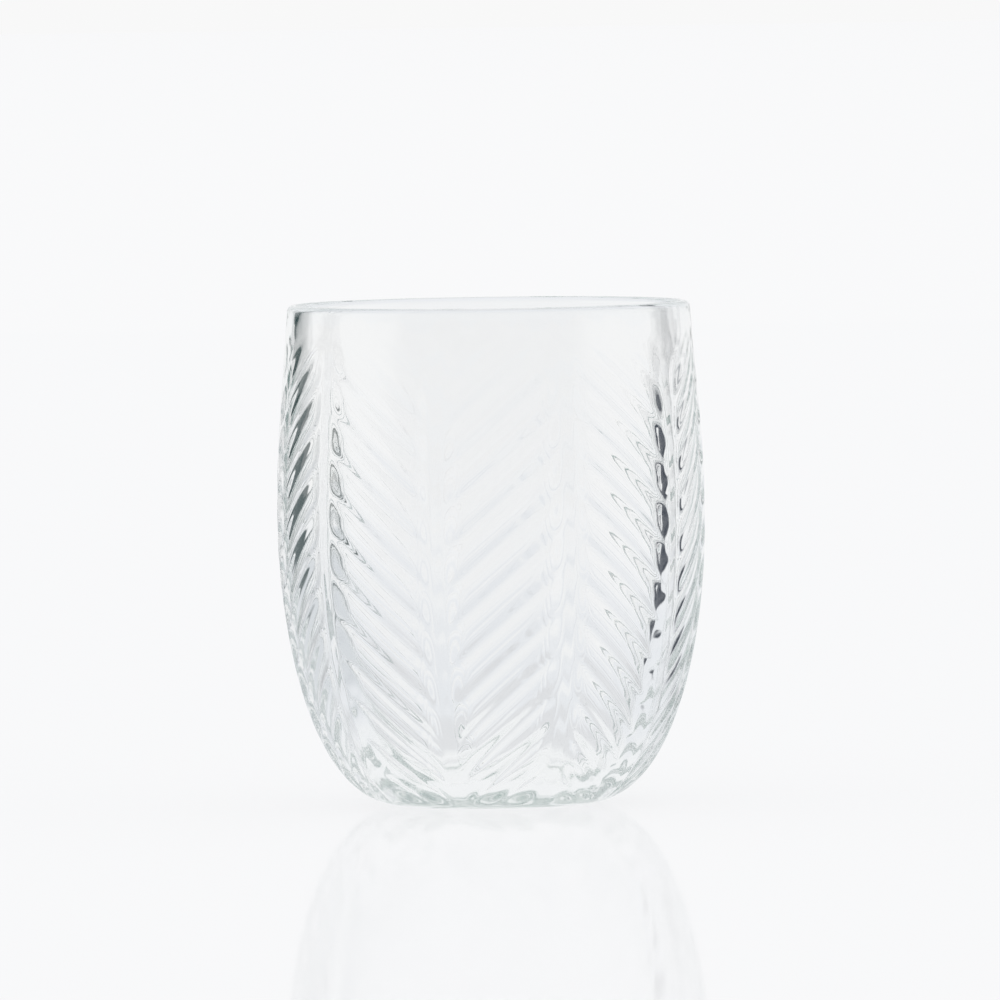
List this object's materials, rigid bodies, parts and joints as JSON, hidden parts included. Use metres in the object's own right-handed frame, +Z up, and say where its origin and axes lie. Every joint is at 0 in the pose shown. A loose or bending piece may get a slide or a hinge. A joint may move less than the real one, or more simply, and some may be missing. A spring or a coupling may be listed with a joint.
{
  "type": "drinking glass",
  "caption": "Clear glass tumbler with a barrel-shaped bowl, a plain rounded rim, a narrow flat foot and a herringbone of slanting grooves round the outside.",
  "frame": {"origin": "middle of the foot, on the surface that the glass stands on", "axes": "+Z up along the axis of the glass; -Y is the side that faces the viewer"},
  "size_m": [0.0855, 0.0844, 0.1],
  "materials": {
    "clear_glass": "gloss, fire-polished"
  },
  "bodies": {
    "root": {"tumbler": "clear_glass"}
  },
  "joints": []
}
